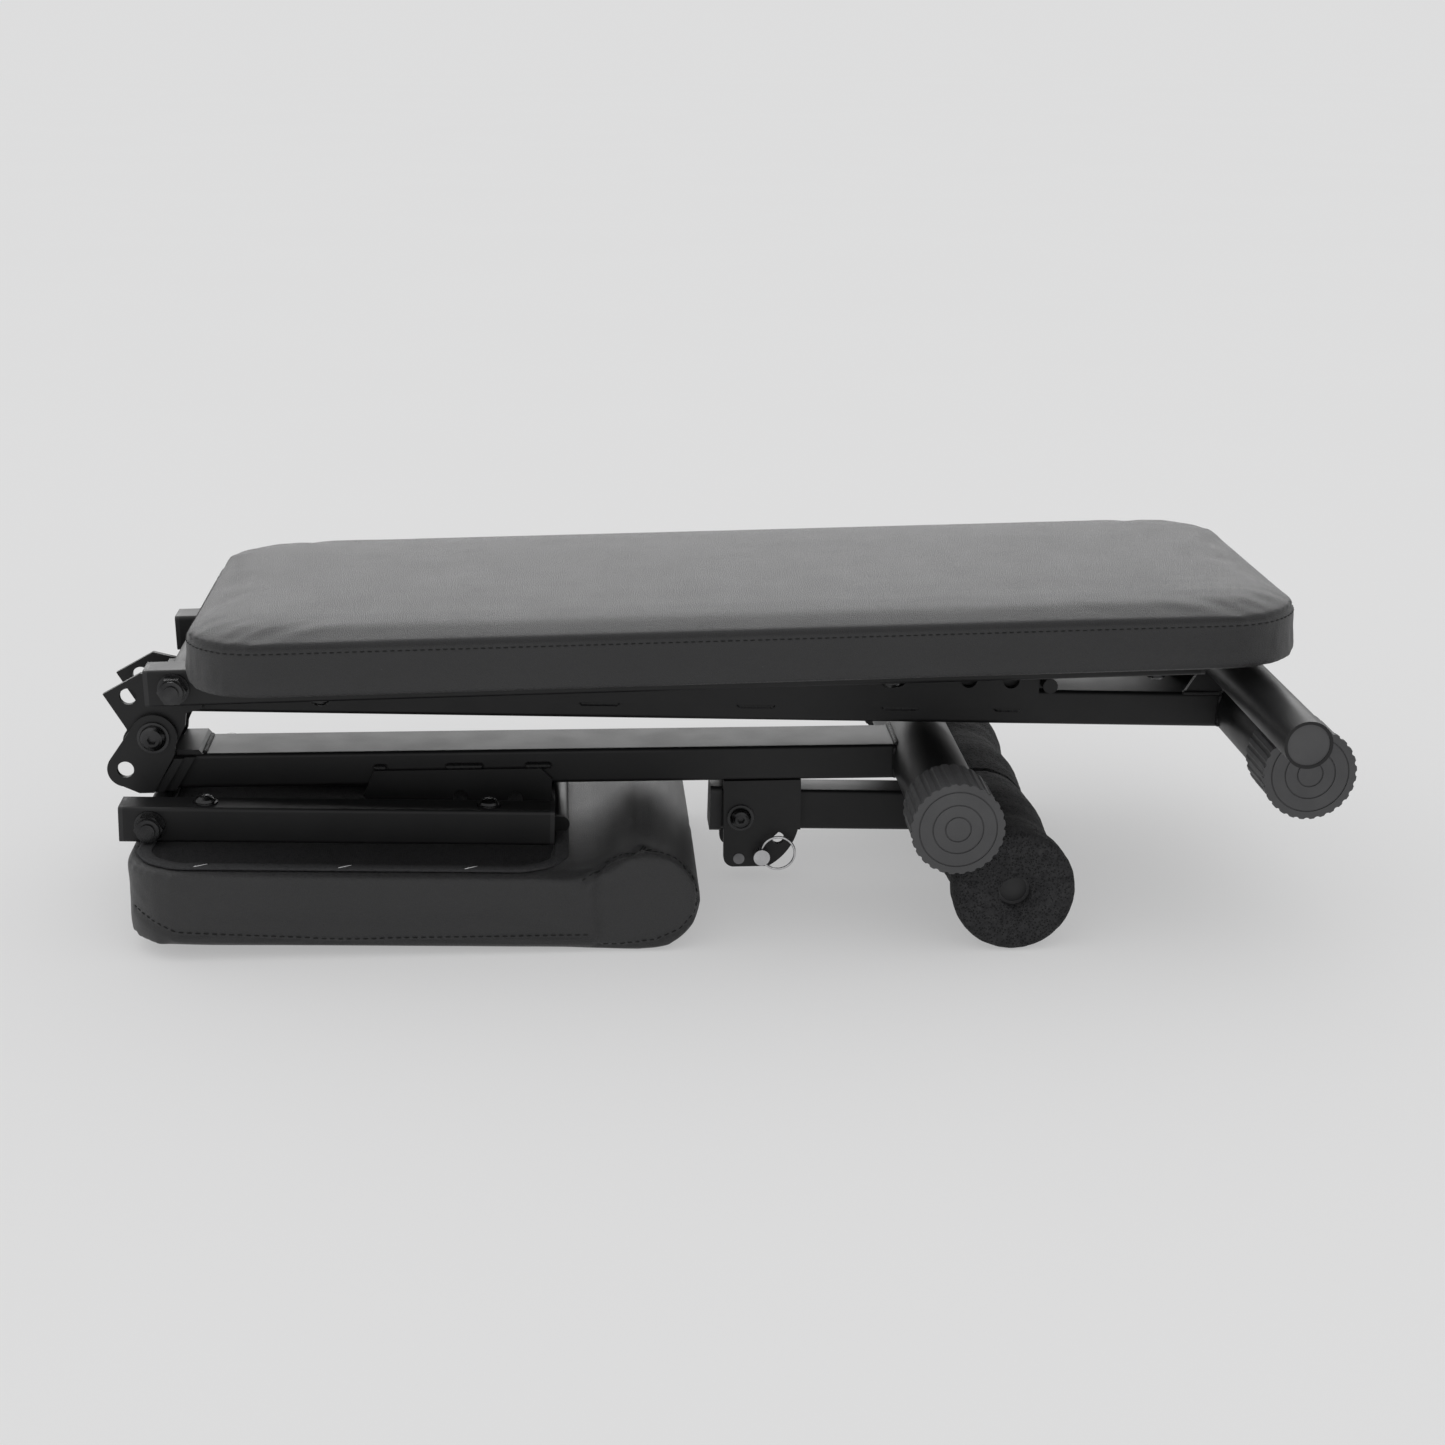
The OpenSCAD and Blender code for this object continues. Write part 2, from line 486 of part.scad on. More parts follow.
// ---------------------------------------------------------------- ring pin
ring_y = -leg_w / 2 - 6.2;
module pin_place() { at(RX, RZ) rotate([0, 62, 0]) translate([31.2, 0, 0]) rotate([0, -62, 0]) children(); }
module ring_pin() {
    color("#b9bbbe") pin_place() difference() {
        union() {
            ycyl(4, -leg_w / 2 - 4, leg_w / 2 + 5);
            ycyl(5.8, -leg_w / 2 - 9.5, -leg_w / 2 - 0.4);
        }
        // cross hole, wide enough for the curve of the ring
        translate([0, ring_y, 0]) rotate([0, -11.1, 0]) translate([0, 0, -8]) cylinder(r = 2.6, h = 16, $fn = 32);
    }
}
module pin_ring() {
    // ring through the pin's cross hole, beside the bracket
    color("#c9cbce") pin_place() translate([11.7, ring_y, 2.3]) rotate([90, 0, 0]) rotate_extrude($fn = 64) translate([12, 0]) circle(r = 0.9, $fn = 20);
}

rear_leg_tube();
rear_hinge_plates();
backrest_pivot_sleeve();
backrest_rack_plates();
rear_foot_tube();
rear_foot_cap_left();
rear_foot_cap_right();
rest_bar();
rest_bar_bracket();
rest_bar_plugs();
fold_pivot_bolt();
fold_pivot_nut();
fold_pivot_spacer();
rear_leg_end_plug();
front_leg_tube();
front_hinge_plates();
seat_pivot_sleeve();
seat_rack_plates();
front_foot_tube();
front_foot_cap_left();
front_foot_cap_right();
roller_bracket_plates();
roller_pivot_bolt();
roller_pivot_nut();
roller_bracket_rivet();
backrest_rail_left();
backrest_rail_right();
backrest_rail_plugs();
backrest_board();
backrest_pad();
backrest_screws();
backrest_pivot_bolt();
backrest_pivot_nut();
backrest_strut_axle();
backrest_strut_arm_left();
backrest_strut_arm_right();
backrest_strut_rod();
seat_rail_left();
seat_rail_right();
seat_rail_plugs();
seat_board();
seat_pad();
seat_backing();
seat_screws();
seat_pivot_bolt();
seat_pivot_nut();
seat_strut_pins();
seat_strut_arm_left();
seat_strut_arm_right();
seat_strut_rod();
roller_post();
roller_post_plug();
roller_post_tongue();
roller_bar();
roller_bar_plugs();
foam_roller_left();
foam_roller_right();
ring_pin();
pin_ring();
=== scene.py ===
import bpy, bmesh, math, json, random
from mathutils import Vector, Matrix, noise

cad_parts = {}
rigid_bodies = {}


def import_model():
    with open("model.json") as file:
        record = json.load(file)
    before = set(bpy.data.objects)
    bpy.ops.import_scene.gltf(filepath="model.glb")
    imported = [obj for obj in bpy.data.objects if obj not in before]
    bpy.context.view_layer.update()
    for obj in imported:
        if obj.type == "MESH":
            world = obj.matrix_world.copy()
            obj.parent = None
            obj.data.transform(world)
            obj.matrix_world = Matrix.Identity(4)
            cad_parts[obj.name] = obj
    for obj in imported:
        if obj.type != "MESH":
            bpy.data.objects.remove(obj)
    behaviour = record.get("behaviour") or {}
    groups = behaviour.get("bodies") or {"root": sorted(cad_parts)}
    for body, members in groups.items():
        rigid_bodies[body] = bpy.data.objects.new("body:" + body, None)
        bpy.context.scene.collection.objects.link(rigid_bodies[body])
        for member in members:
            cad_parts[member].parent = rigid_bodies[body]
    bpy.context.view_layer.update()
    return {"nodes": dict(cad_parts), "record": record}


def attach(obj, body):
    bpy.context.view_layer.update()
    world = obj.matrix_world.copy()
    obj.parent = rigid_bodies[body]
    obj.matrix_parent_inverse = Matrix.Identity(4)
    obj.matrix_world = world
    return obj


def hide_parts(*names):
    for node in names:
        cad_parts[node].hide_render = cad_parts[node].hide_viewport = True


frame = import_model()
scene = bpy.context.scene
nodes = frame["nodes"]
XM = 0.3789            # CAD shift along X


def W(x, z, y=0.0):
    """A point given in the working millimetres of part.scad."""
    return Vector((x / 1000 - XM, y / 1000, z / 1000))


# ------------------------------------------------------------------ camera
yaw, pit, rol = 0.0654, 0.302, -0.0023
fwd = Vector((math.sin(yaw) * math.cos(pit), math.cos(yaw) * math.cos(pit), -math.sin(pit)))
right = Vector((math.cos(yaw), -math.sin(yaw), 0))
down = fwd.cross(right)
if down.z > 0:
    down = -down
r2 = right * math.cos(rol) + down * math.sin(rol)
d2 = down * math.cos(rol) - right * math.sin(rol)
cam_data = bpy.data.cameras.new("camera")
cam_data.sensor_width = 36.0
cam_data.sensor_fit = "HORIZONTAL"
cam_data.lens = 2405.43 / 1445 * 36.0
cam_data.clip_start = 0.05
cam_data.clip_end = 60
cam = bpy.data.objects.new("camera", cam_data)
m = Matrix((( r2.x, -d2.x, -fwd.x), (r2.y, -d2.y, -fwd.y), (r2.z, -d2.z, -fwd.z)))
cam.matrix_world = Matrix.Translation(Vector((0.283014 - XM, -1.633062, 0.626343))) @ m.to_4x4()
scene.collection.objects.link(cam)
scene.camera = cam

# ------------------------------------------------------------------ light and floor
world = bpy.data.worlds.new("studio")
scene.world = world
world.use_nodes = True
bg = world.node_tree.nodes["Background"]
bg.inputs["Color"].default_value = (0.726, 0.726, 0.728, 1)
bg.inputs["Strength"].default_value = 1.0
scene.view_settings.view_transform = "Standard"
scene.view_settings.look = "None"


def area(name, loc, target, size, size_y, power, color=(1, 1, 1)):
    d = bpy.data.lights.new(name, "AREA")
    d.shape = "RECTANGLE"
    d.size, d.size_y, d.energy, d.color = size, size_y, power, color
    o = bpy.data.objects.new(name, d)
    o.location = loc
    o.rotation_euler = (Vector(target) - Vector(loc)).to_track_quat("-Z", "Y").to_euler()
    scene.collection.objects.link(o)
    return o


area("softbox_top", (0.0, 1.2, 3.6), (0, 0.2, 0.0), 5.0, 4.0, 46)
area("softbox_back", (0.0, 4.2, 1.9), (0, 0, 0.2), 6.0, 2.4, 95)

bm = bmesh.new()
bmesh.ops.create_grid(bm, x_segments=2, y_segments=2, size=14)
me = bpy.data.meshes.new("floor")
bm.to_mesh(me)
bm.free()
floor = bpy.data.objects.new("floor", me)
scene.collection.objects.link(floor)
lit = bpy.data.collections.new("lit_by_softboxes")
for o in nodes.values():
    lit.objects.link(o)
for o in scene.objects:
    if o.type == "LIGHT":
        o.light_linking.receiver_collection = lit
        o.visible_camera = False


# ------------------------------------------------------------------ materials
def new_mat(name):
    mt = bpy.data.materials.new(name)
    mt.use_nodes = True
    nt = mt.node_tree
    return mt, nt, nt.nodes["Principled BSDF"]


def node(nt, kind, **kw):
    n = nt.nodes.new(kind)
    for k, v in kw.items():
        setattr(n, k, v)
    return n


def ramp(nt, stops, fac):
    r = node(nt, "ShaderNodeValToRGB")
    el = r.color_ramp.elements
    while len(el) > len(stops):
        el.remove(el[-1])
    while len(el) < len(stops):
        el.new(0.5)
    for e, (p, c) in zip(el, stops):
        e.position = p
        e.color = (c[0], c[1], c[2], 1) if isinstance(c, (tuple, list)) else (c, c, c, 1)
    nt.links.new(fac, r.inputs["Fac"])
    return r.outputs["Color"]


def tex_noise(nt, vec, scale, detail=3, rough=0.5, dist=0.0):
    n = node(nt, "ShaderNodeTexNoise")
    n.inputs["Scale"].default_value = scale
    n.inputs["Detail"].default_value = detail
    n.inputs["Roughness"].default_value = rough
    n.inputs["Distortion"].default_value = dist
    nt.links.new(vec, n.inputs["Vector"])
    return n.outputs["Fac"]


def tex_voronoi(nt, vec, scale, feature="F1", rand=1.0, out="Distance"):
    n = node(nt, "ShaderNodeTexVoronoi", feature=feature)
    n.inputs["Scale"].default_value = scale
    n.inputs["Randomness"].default_value = rand
    nt.links.new(vec, n.inputs["Vector"])
    return n.outputs[out]


def math_node(nt, op, a, b=None, clamp=False):
    n = node(nt, "ShaderNodeMath", operation=op)
    n.use_clamp = clamp
    for i, v in enumerate((a, b)):
        if v is None:
            continue
        if isinstance(v, (int, float)):
            n.inputs[i].default_value = v
        else:
            nt.links.new(v, n.inputs[i])
    return n.outputs[0]


def bump(nt, height, strength, distance, normal=None):
    b = node(nt, "ShaderNodeBump")
    b.inputs["Strength"].default_value = strength
    b.inputs["Distance"].default_value = distance
    nt.links.new(height, b.inputs["Height"])
    if normal is not None:
        nt.links.new(normal, b.inputs["Normal"])
    return b.outputs["Normal"]


def obj_coords(nt):
    return node(nt, "ShaderNodeTexCoord").outputs["Object"]


def mapping(nt, vec, scale):
    mp = node(nt, "ShaderNodeMapping")
    mp.inputs["Scale"].default_value = scale
    nt.links.new(vec, mp.inputs["Vector"])
    return mp.outputs["Vector"]


def mat_powder(name, lo, hi, rough=(0.43, 0.47), orange=0.00010):
    """Satin powder coat: orange peel, soft mottling, faint dust specks."""
    mt, nt, b = new_mat(name)
    v = obj_coords(nt)
    big = tex_noise(nt, v, 14, 4, 0.6)
    c = ramp(nt, [(0.3, lo), (0.7, hi)], big)
    speck = tex_voronoi(nt, v, 320)
    sp = ramp(nt, [(0.0, 1.0), (0.035, 0.0)], speck)
    mix = node(nt, "ShaderNodeMix", data_type="RGBA")
    nt.links.new(sp, mix.inputs[0])
    nt.links.new(c, mix.inputs[6])
    mix.inputs[7].default_value = (hi[0] * 2.6, hi[1] * 2.6, hi[2] * 2.6, 1)
    nt.links.new(mix.outputs[2], b.inputs["Base Color"])
    r = ramp(nt, [(0.35, rough[0]), (0.65, rough[1])], tex_noise(nt, v, 40, 3))
    nt.links.new(r, b.inputs["Roughness"])
    peel = tex_noise(nt, v, 900, 2, 0.55)
    wave = tex_noise(nt, v, 160, 2, 0.5)
    n1 = bump(nt, wave, 0.08, 0.0002)
    nt.links.new(bump(nt, peel, 0.5, orange, n1), b.inputs["Normal"])
    b.inputs["Specular IOR Level"].default_value = 0.36
    return mt


def mat_vinyl(name, lo, hi):
    """Grained matte vinyl: pebbled grain cells with painted shade in their grooves, creases, mottled sheen, a few dust
    specks.
    """
    mt, nt, b = new_mat(name)
    v = obj_coords(nt)
    big = tex_noise(nt, v, 5.5, 4, 0.55)
    c = ramp(nt, [(0.3, lo), (0.72, hi)], big)
    cell = tex_voronoi(nt, v, 820, "F1")
    edge = tex_voronoi(nt, v, 820, "DISTANCE_TO_EDGE")
    # painted shade: the colour is darkened to 0.72 in the grain grooves between cells, where the bump sinks
    groove_shade = ramp(nt, [(0.0, 0.72), (0.16, 1.0)], edge)
    mul = node(nt, "ShaderNodeMix", data_type="RGBA", blend_type="MULTIPLY")
    mul.inputs[0].default_value = 1.0
    nt.links.new(c, mul.inputs[6])
    nt.links.new(groove_shade, mul.inputs[7])
    sp = ramp(nt, [(0.0, 1.0), (0.018, 0.0)], tex_voronoi(nt, v, 95))
    mix = node(nt, "ShaderNodeMix", data_type="RGBA")
    nt.links.new(sp, mix.inputs[0])
    nt.links.new(mul.outputs[2], mix.inputs[6])
    mix.inputs[7].default_value = (0.35, 0.35, 0.35, 1)
    nt.links.new(mix.outputs[2], b.inputs["Base Color"])
    r = ramp(nt, [(0.3, 0.475), (0.7, 0.515)], tex_noise(nt, v, 26, 4, 0.6))
    nt.links.new(r, b.inputs["Roughness"])
    wr = tex_noise(nt, mapping(nt, v, (60, 190, 190)), 1.0, 4, 0.62, 1.2)
    n0 = bump(nt, wr, 0.10, 0.0003)
    g = ramp(nt, [(0.0, 0.0), (0.22, 1.0)], edge)
    n1 = bump(nt, g, 0.7, 0.0003, n0)
    fine = tex_noise(nt, v, 2600, 2, 0.5)
    nt.links.new(bump(nt, fine, 0.25, 0.00008, n1), b.inputs["Normal"])
    b.inputs["Specular IOR Level"].default_value = 0.62
    b.inputs["Sheen Weight"].default_value = 0.08
    b.inputs["Sheen Roughness"].default_value = 0.4
    return mt


def mat_foam(name, lo, hi):
    """Open-cell foam: dense pores of two sizes with painted shade in them, almost no gloss."""
    mt, nt, b = new_mat(name)
    v = obj_coords(nt)
    pore = tex_voronoi(nt, v, 620)
    pore2 = tex_voronoi(nt, v, 260)
    h = math_node(nt, "MINIMUM", ramp(nt, [(0.12, 0.0), (0.5, 1.0)], pore), ramp(nt, [(0.06, 0.0), (0.3, 1.0)], pore2))
    base = ramp(nt, [(0.3, lo), (0.7, hi)], tex_noise(nt, v, 180, 4, 0.7))
    # painted shade: the colour is darkened towards 0.25 inside the pore hollows, using the same mask that sinks the
    # bump
    mul = node(nt, "ShaderNodeMix", data_type="RGBA", blend_type="MULTIPLY")
    mul.inputs[0].default_value = 0.85
    nt.links.new(base, mul.inputs[6])
    nt.links.new(ramp(nt, [(0.0, 0.25), (0.8, 1.25)], h), mul.inputs[7])
    nt.links.new(mul.outputs[2], b.inputs["Base Color"])
    nt.links.new(ramp(nt, [(0.2, 0.86), (0.8, 1.0)], tex_noise(nt, v, 300, 2)), b.inputs["Roughness"])
    b.inputs["Specular IOR Level"].default_value = 0.22
    nt.links.new(bump(nt, h, 0.8, 0.0009), b.inputs["Normal"])
    return mt


def mat_plastic(name, lo, hi, rough=(0.5, 0.62), grain=1400, depth=0.00012):
    mt, nt, b = new_mat(name)
    v = obj_coords(nt)
    nt.links.new(ramp(nt, [(0.3, lo), (0.7, hi)], tex_noise(nt, v, 22, 4, 0.6)), b.inputs["Base Color"])
    nt.links.new(ramp(nt, [(0.3, rough[0]), (0.7, rough[1])], tex_noise(nt, v, 90, 3)), b.inputs["Roughness"])
    nt.links.new(bump(nt, tex_noise(nt, v, grain, 2, 0.6), 0.5, depth), b.inputs["Normal"])
    b.inputs["Specular IOR Level"].default_value = 0.42
    return mt


def mat_metal(name, lo, hi, rough, metallic=1.0, scratch=0.0002):
    mt, nt, b = new_mat(name)
    v = obj_coords(nt)
    nt.links.new(ramp(nt, [(0.3, lo), (0.7, hi)], tex_noise(nt, v, 60, 4, 0.6)), b.inputs["Base Color"])
    b.inputs["Metallic"].default_value = metallic
    nt.links.new(ramp(nt, [(0.35, rough[0]), (0.65, rough[1])], tex_noise(nt, v, 240, 3)), b.inputs["Roughness"])
    s = tex_noise(nt, mapping(nt, v, (2600, 300, 2600)), 1.0, 2, 0.5)
    nt.links.new(bump(nt, s, 0.3, scratch), b.inputs["Normal"])
    return mt


def mat_cloth_backing(name):
    """Non-woven backing cloth: matted fibres pressed with a fine dot grid."""
    mt, nt, b = new_mat(name)
    v = obj_coords(nt)
    f1 = tex_noise(nt, mapping(nt, v, (1500, 420, 800)), 1.0, 4, 0.7, 0.8)
    f2 = tex_noise(nt, mapping(nt, v, (380, 1500, 800)), 1.0, 4, 0.7, 0.8)
    f = math_node(nt, "ADD", f1, f2)
    nt.links.new(ramp(nt, [(0.7, (0.012, 0.012, 0.013)), (1.3, (0.05, 0.05, 0.052))], f), b.inputs["Base Color"])
    nt.links.new(ramp(nt, [(0.3, 0.85), (0.7, 0.98)], tex_noise(nt, v, 300, 2)), b.inputs["Roughness"])
    dots = tex_voronoi(nt, v, 700, "F1", 0.0)
    n0 = bump(nt, dots, 0.4, 0.0003)
    nt.links.new(bump(nt, f, 0.7, 0.0005, n0), b.inputs["Normal"])
    b.inputs["Specular IOR Level"].default_value = 0.25
    return mt


def mat_ply(name):
    mt, nt, b = new_mat(name)
    v = obj_coords(nt)
    w = node(nt, "ShaderNodeTexWave", wave_type="BANDS", bands_direction="Z")
    w.inputs["Scale"].default_value = 95
    w.inputs["Distortion"].default_value = 1.4
    nt.links.new(v, w.inputs["Vector"])
    nt.links.new(ramp(nt, [(0.2, (0.20, 0.12, 0.06)), (0.8, (0.46, 0.32, 0.18))], w.outputs["Fac"]), b.inputs["Base Color"])
    nt.links.new(ramp(nt, [(0.3, 0.6), (0.7, 0.8)], tex_noise(nt, v, 120, 3)), b.inputs["Roughness"])
    return mt


M = {
    "black_frame": mat_powder("powder_black", (0.007, 0.007, 0.0075), (0.012, 0.012, 0.0125)),
    "black_vinyl": mat_vinyl("vinyl_black", (0.013, 0.013, 0.014), (0.018, 0.018, 0.019)),
    "plywood": mat_ply("plywood"),
    "backing_cloth": mat_cloth_backing("backing"),
    "black_foam": mat_foam("foam_black", (0.016, 0.016, 0.017), (0.034, 0.034, 0.035)),
    "grey_plastic": mat_plastic("plastic_grey", (0.060, 0.060, 0.062), (0.078, 0.078, 0.080)),
    "black_plastic": mat_plastic("plastic_black", (0.018, 0.018, 0.019), (0.028, 0.028, 0.029), (0.38, 0.5)),
    "black_hardware": mat_metal("zinc_black", (0.030, 0.030, 0.031), (0.065, 0.065, 0.066), (0.18, 0.30), 0.9),
    "nickel_steel": mat_metal("nickel", (0.55, 0.55, 0.56), (0.72, 0.72, 0.73), (0.12, 0.24)),
    "inner_tube_steel": mat_powder("tube_grey", (0.05, 0.05, 0.052), (0.075, 0.075, 0.077), (0.3, 0.42)),
    "dull_steel": mat_metal("zinc_dull", (0.16, 0.16, 0.165), (0.26, 0.26, 0.265), (0.4, 0.55)),
}
slot_of = {s["node"]: s["material_slot"] for s in frame["record"]["subparts"]}
for n, o in nodes.items():
    o.data.materials.clear()
    o.data.materials.append(M[slot_of[n]])

mt, nt, b = new_mat("floor_pale")
nt.links.new(ramp(nt, [(0.3, 0.485), (0.7, 0.490)], tex_noise(nt, obj_coords(nt), 2.0, 3)), b.inputs["Base Color"])
b.inputs["Roughness"].default_value = 0.9
b.inputs["Specular IOR Level"].default_value = 0.0
b.inputs["Emission Color"].default_value = (0.372, 0.372, 0.373, 1)
b.inputs["Emission Strength"].default_value = 1.0
floor.data.materials.append(mt)


# ------------------------------------------------------------------ soft pieces
BF = Matrix.Translation(W(0, 172.2)) @ Matrix.Rotation(math.radians(-0.865), 4, "Y")
SF = Matrix.Translation(W(-22, 76.7)) @ Matrix.Rotation(math.radians(1.764), 4, "Y")
RF = Matrix.Translation(W(0, 151.5)) @ Matrix.Rotation(math.radians(1.89), 4, "Y")
FF = Matrix.Translation(W(0, 95.2)) @ Matrix.Rotation(math.radians(0.25), 4, "Y")
from mathutils.bvhtree import BVHTree
from mathutils.kdtree import KDTree


def put(name, me, mat, body, smooth=True):
    o = bpy.data.objects.new(name, me)
    scene.collection.objects.link(o)
    lit.objects.link(o)
    me.materials.clear()
    me.materials.append(mat)
    if smooth:
        me.shade_smooth()
    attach(o, body)
    return o


def baked(o):
    dg = bpy.context.evaluated_depsgraph_get()
    return bpy.data.meshes.new_from_object(o.evaluated_get(dg))


def cushion(name, parts, F, scale, centre, pinned, cap, voxel=0.005, pressure=4.0, start_mesh=None):
    """Filled shape of the CAD parts, remeshed, blown up by Cloth pressure, subdivided; returned in the frame F."""
    bm = bmesh.new()
    for p in parts:
        t = nodes[p].data.copy()
        t.transform(F.inverted() @ nodes[p].matrix_world)
        bm.from_mesh(t)
    me = bpy.data.meshes.new(name + "_start")
    bm.to_mesh(me)
    bm.free()
    if start_mesh is not None:
        me = start_mesh
    c, s = Vector(centre), Vector(scale)
    for v in me.vertices:
        d = v.co - c
        v.co = c + Vector((d.x * s.x, d.y * s.y, d.z * s.z))
    o = bpy.data.objects.new(name + "_sim", me)
    scene.collection.objects.link(o)
    r = o.modifiers.new("remesh", "REMESH")
    r.mode = "VOXEL"
    r.voxel_size = voxel
    start = baked(o)
    o.modifiers.clear()
    o.data = start
    g = o.vertex_groups.new(name="pin")
    g.add([v.index for v in start.vertices if pinned(v.co)], 1.0, "REPLACE")
    before = [v.co.copy() for v in start.vertices]
    m = o.modifiers.new("cloth", "CLOTH")
    m.settings.quality = 5
    m.settings.use_pressure = True
    m.settings.uniform_pressure_force = pressure
    m.settings.effector_weights.gravity = 0
    m.settings.vertex_group_mass = "pin"
    m.point_cache.frame_start, m.point_cache.frame_end = 1, 20
    for f in range(1, 21):
        scene.frame_set(f)
    after = baked(o)
    o.modifiers.clear()
    for i, v in enumerate(after.vertices):
        d = v.co - before[i]
        if d.length > cap:
            d *= cap / d.length
        v.co = before[i] + d
    o.data = after
    scene.frame_set(1)
    sub = o.modifiers.new("sub", "SUBSURF")
    sub.levels = 1
    sub.render_levels = 1
    out = baked(o)
    bpy.data.objects.remove(o)
    out.name = name
    return out


def press(me, pts, depth, width):
    """Press a stitched line into the surface."""
    kd = KDTree(len(pts))
    for i, p in enumerate(pts):
        kd.insert(p, i)
    kd.balance()
    nrm = [v.normal.copy() for v in me.vertices]
    for v, n in zip(me.vertices, nrm):
        _, _, d = kd.find(v.co)
        if d < width * 3:
            v.co -= n * depth * math.exp(-(d / width) ** 2)


def dense(pts, step=0.0015, closed=False):
    out = []
    seq = list(pts) + ([pts[0]] if closed else [])
    for a, b in zip(seq, seq[1:]):
        k = max(1, int((b - a).length / step))
        out += [a.lerp(b, i / k) for i in range(k)]
    return out + [seq[-1]]


def capsule(bm, a, b, r, seg=6):
    d = b - a
    q = d.to_track_quat("Z", "Y").to_matrix().to_4x4()
    ln = d.length
    rings = [(0, 0.35), (0.15, 0.85), (0.5, 1.0), (0.85, 0.85), (1.0, 0.35)]
    loops = []
    for t, k in rings:
        loops.append([bm.verts.new(Matrix.Translation(a) @ q @ Vector((math.cos(2 * math.pi * i / seg) * r * k, math.sin(2 * math.pi * i / seg) * r * k, t * ln))) for i in range(seg)])
    for la, lb in zip(loops, loops[1:]):
        for i in range(seg):
            bm.faces.new((la[i], la[(i + 1) % seg], lb[(i + 1) % seg], lb[i]))
    bm.faces.new(list(reversed(loops[0])))
    bm.faces.new(loops[-1])


def stitches(name, me, pts, mat, body, F, length=0.0032, gap=0.0021, r=0.00045, closed=False):
    """Separate thread stitches lying on the surface along a line."""
    tree = BVHTree.FromPolygons([v.co for v in me.vertices], [tuple(p.vertices) for p in me.polygons])
    line = dense(pts, 0.0006, closed)
    bm = bmesh.new()
    k_on, k_all = int(length / 0.0006), int((length + gap) / 0.0006)
    for i in range(0, len(line) - k_all, k_all):
        a, b = line[i], line[i + k_on]
        ha, na, _, _ = tree.find_nearest(a)
        hb, nb, _, _ = tree.find_nearest(b)
        if ha and hb and (hb - ha).length > 0.001:
            capsule(bm, ha + na * r * 0.5, hb + nb * r * 0.5, r)
    t = bpy.data.meshes.new(name)
    bm.to_mesh(t)
    bm.free()
    t.transform(F)
    return put(name, t, mat, body)


def surface(me, origins, direction_of):
    tree = BVHTree.FromPolygons([v.co for v in me.vertices], [tuple(p.vertices) for p in me.polygons])
    out = []
    for p in origins:
        h, n, _, _ = tree.ray_cast(p, direction_of(p))
        if h is not None:
            out.append(h)
    return out


def rounded(x0, x1, hw, r, out=0.03, n=14):
    """Rounded rectangle outline with its outward direction, in order."""
    pts = []
    for cx, cy, a0 in ((x1 - r, hw - r, 0), (x0 + r, hw - r, 90), (x0 + r, -hw + r, 180), (x1 - r, -hw + r, 270)):
        for i in range(n + 1):
            a = math.radians(a0 + 90 * i / n)
            pts.append((Vector((cx + r * math.cos(a), cy + r * math.sin(a), 0)), Vector((math.cos(a), math.sin(a), 0))))
    return pts


def creases(me, spots, amp):
    """Soft pulled folds fading away from the given corners."""
    for v in me.vertices:
        w = sum(math.exp(-((v.co - Vector(c)).length / s) ** 2) for c, s in spots)
        if w < 0.02:
            continue
        k = noise.noise(Vector((v.co.x * 26, v.co.y * 70, v.co.z * 80)))
        v.co += v.normal * (amp * w * (1 - 2 * abs(k)) - amp * 0.4 * w)


thread = mat_plastic("thread", (0.003, 0.003, 0.003), (0.006, 0.006, 0.006), (0.7, 0.85))
RH = 0.0125
bx0, bx1, bw = 0.0345, 0.7655, 0.147

# backrest pad: a crowned slab with a crisp stitched top edge
def crowned(x0, x1, hw, r, rings):
    bm = bmesh.new()
    loops = []
    for inset, z in rings:
        rr = max(r - inset, 0.012)
        loops.append([bm.verts.new((p.x, p.y, z)) for p, d in rounded(x0 + inset, x1 - inset, hw - inset, rr)])
    n = len(loops[0])
    for la, lb in zip(loops, loops[1:]):
        for i in range(n):
            bm.faces.new((la[i], la[(i + 1) % n], lb[(i + 1) % n], lb[i]))
    bm.faces.new(list(reversed(loops[0])))
    bm.faces.new(loops[-1])
    t = bpy.data.meshes.new("start")
    bm.to_mesh(t)
    bm.free()
    return t


me = cushion("backrest_cushion", [], BF, (1, 1, 1), (0, 0, 0), lambda c: c.z < RH + 0.004, 0.0022, 0.005, 3.0,
             crowned(bx0 - 0.0045, bx1 + 0.0045, bw - 0.0005, 0.055,
                     [(0.0018, RH), (0.0004, RH + 0.003), (0, RH + 0.012), (0, RH + 0.0300), (0.0007, RH + 0.0322), (0.0026, RH + 0.0334),
                      (0.009, RH + 0.0342), (0.022, RH + 0.0360), (0.045, RH + 0.0375), (0.080, RH + 0.0386), (0.110, RH + 0.0390)]))
edge_h = RH + 0.029
ring = [p + d * 0.03 for p, d in rounded(bx0 - 0.0045, bx1 + 0.0045, bw, 0.055)]
dirs = {tuple(p + d * 0.03): -d for p, d in rounded(bx0 - 0.0045, bx1 + 0.0045, bw, 0.055)}
seam = surface(me, [Vector((p.x, p.y, edge_h)) for p in ring], lambda q: dirs[min(dirs, key=lambda t: (t[0] - q.x) ** 2 + (t[1] - q.y) ** 2)])
seam_d = dense(seam, closed=True)
press(me, seam_d, 0.0019, 0.0018)
creases(me, [((bx1, -bw, RH + 0.03), 0.075), ((bx1, bw, RH + 0.03), 0.07), ((bx0, -bw, RH + 0.03), 0.06), ((bx0, bw, RH + 0.03), 0.06)], 0.0003)
